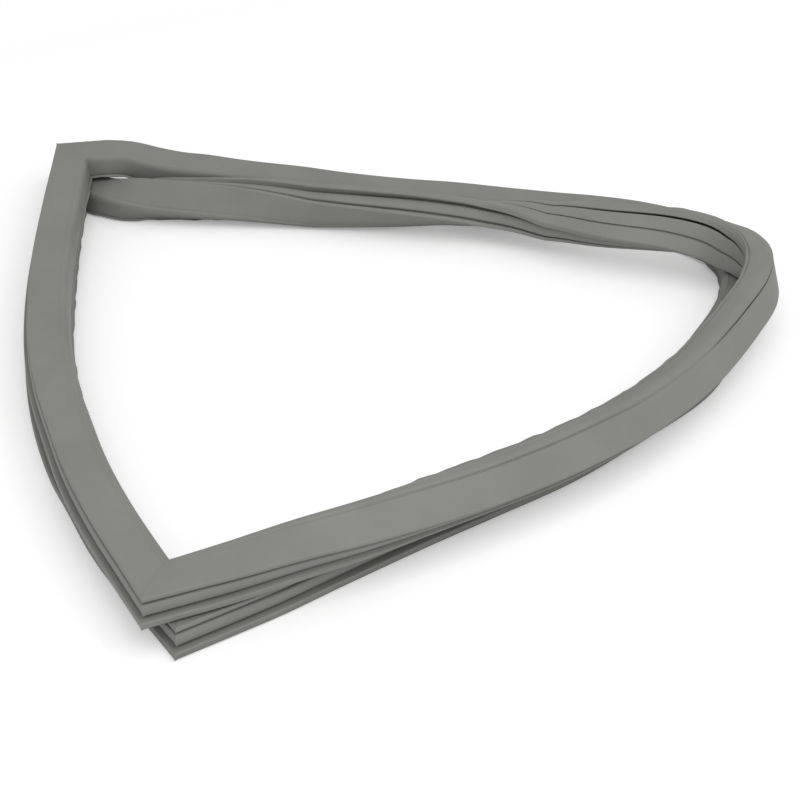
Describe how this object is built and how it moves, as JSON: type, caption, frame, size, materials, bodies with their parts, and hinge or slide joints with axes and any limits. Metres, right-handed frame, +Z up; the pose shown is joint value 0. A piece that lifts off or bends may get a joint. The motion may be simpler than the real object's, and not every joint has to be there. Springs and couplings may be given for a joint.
{
  "type": "refrigerator door gasket",
  "caption": "Grey magnetic refrigerator door gasket: a mitred frame of bellows extrusion, coiled into turns for packing with one long side twisted.",
  "frame": {"origin": "on the floor, under the middle of the coil's outer bounds", "axes": "+X along the coil's length towards its round bend, +Y towards the far turns in the picture, +Z up from the surface it lies on"},
  "size_m": [0.4568, 0.4434, 0.046],
  "materials": {
    "gasket_vinyl": "satin",
    "magnet_ferrite": "matte"
  },
  "bodies": {
    "root": {"gasket_body": "gasket_vinyl", "magnet_strip_short_top": "magnet_ferrite", "magnet_strip_long_outer": "magnet_ferrite", "magnet_strip_short_below": "magnet_ferrite", "magnet_strip_long_inner": "magnet_ferrite"}
  },
  "joints": []
}
